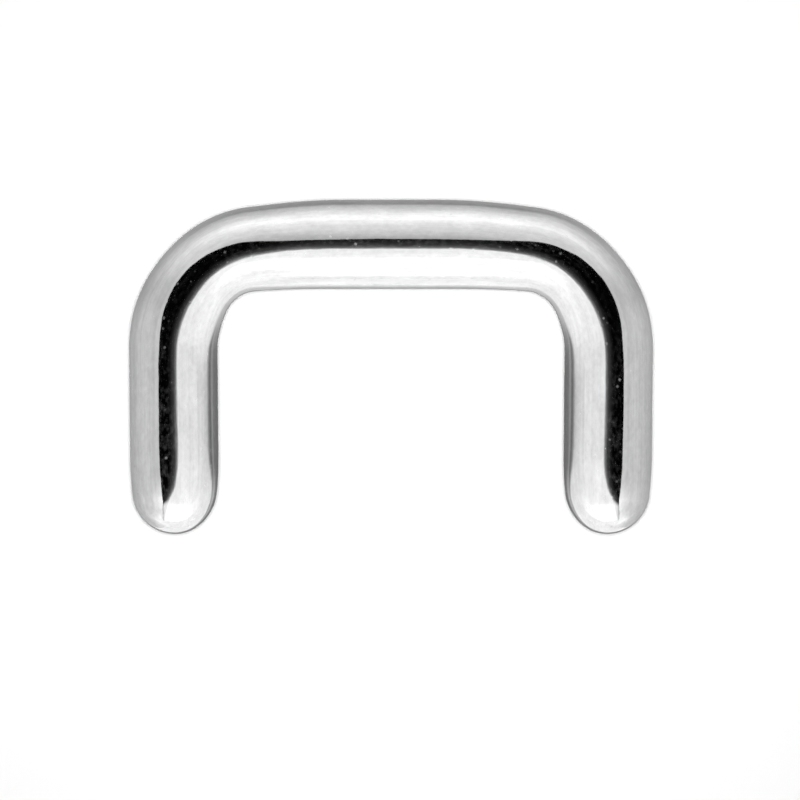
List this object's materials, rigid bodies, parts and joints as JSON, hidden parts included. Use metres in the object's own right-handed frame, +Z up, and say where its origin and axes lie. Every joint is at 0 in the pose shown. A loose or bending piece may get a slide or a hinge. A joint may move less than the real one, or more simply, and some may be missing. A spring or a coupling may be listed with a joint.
{
  "type": "septum retainer",
  "caption": "Staple-shaped septum retainer: a round polished steel bar bent into a gently crowned crossbar and straight legs with rounded tips, worn through a pierced septum.",
  "frame": {"origin": "middle of the footprint, on the surface that the retainer lies on", "axes": "+X along the crossbar, +Y from the tips towards the crossbar, +Z up, square to the plane of the U"},
  "size_m": [0.0094, 0.006, 0.0016],
  "materials": {
    "polished_steel": "mirror-polished surgical steel"
  },
  "bodies": {
    "root": {"retainer_bar": "polished_steel"}
  },
  "joints": []
}
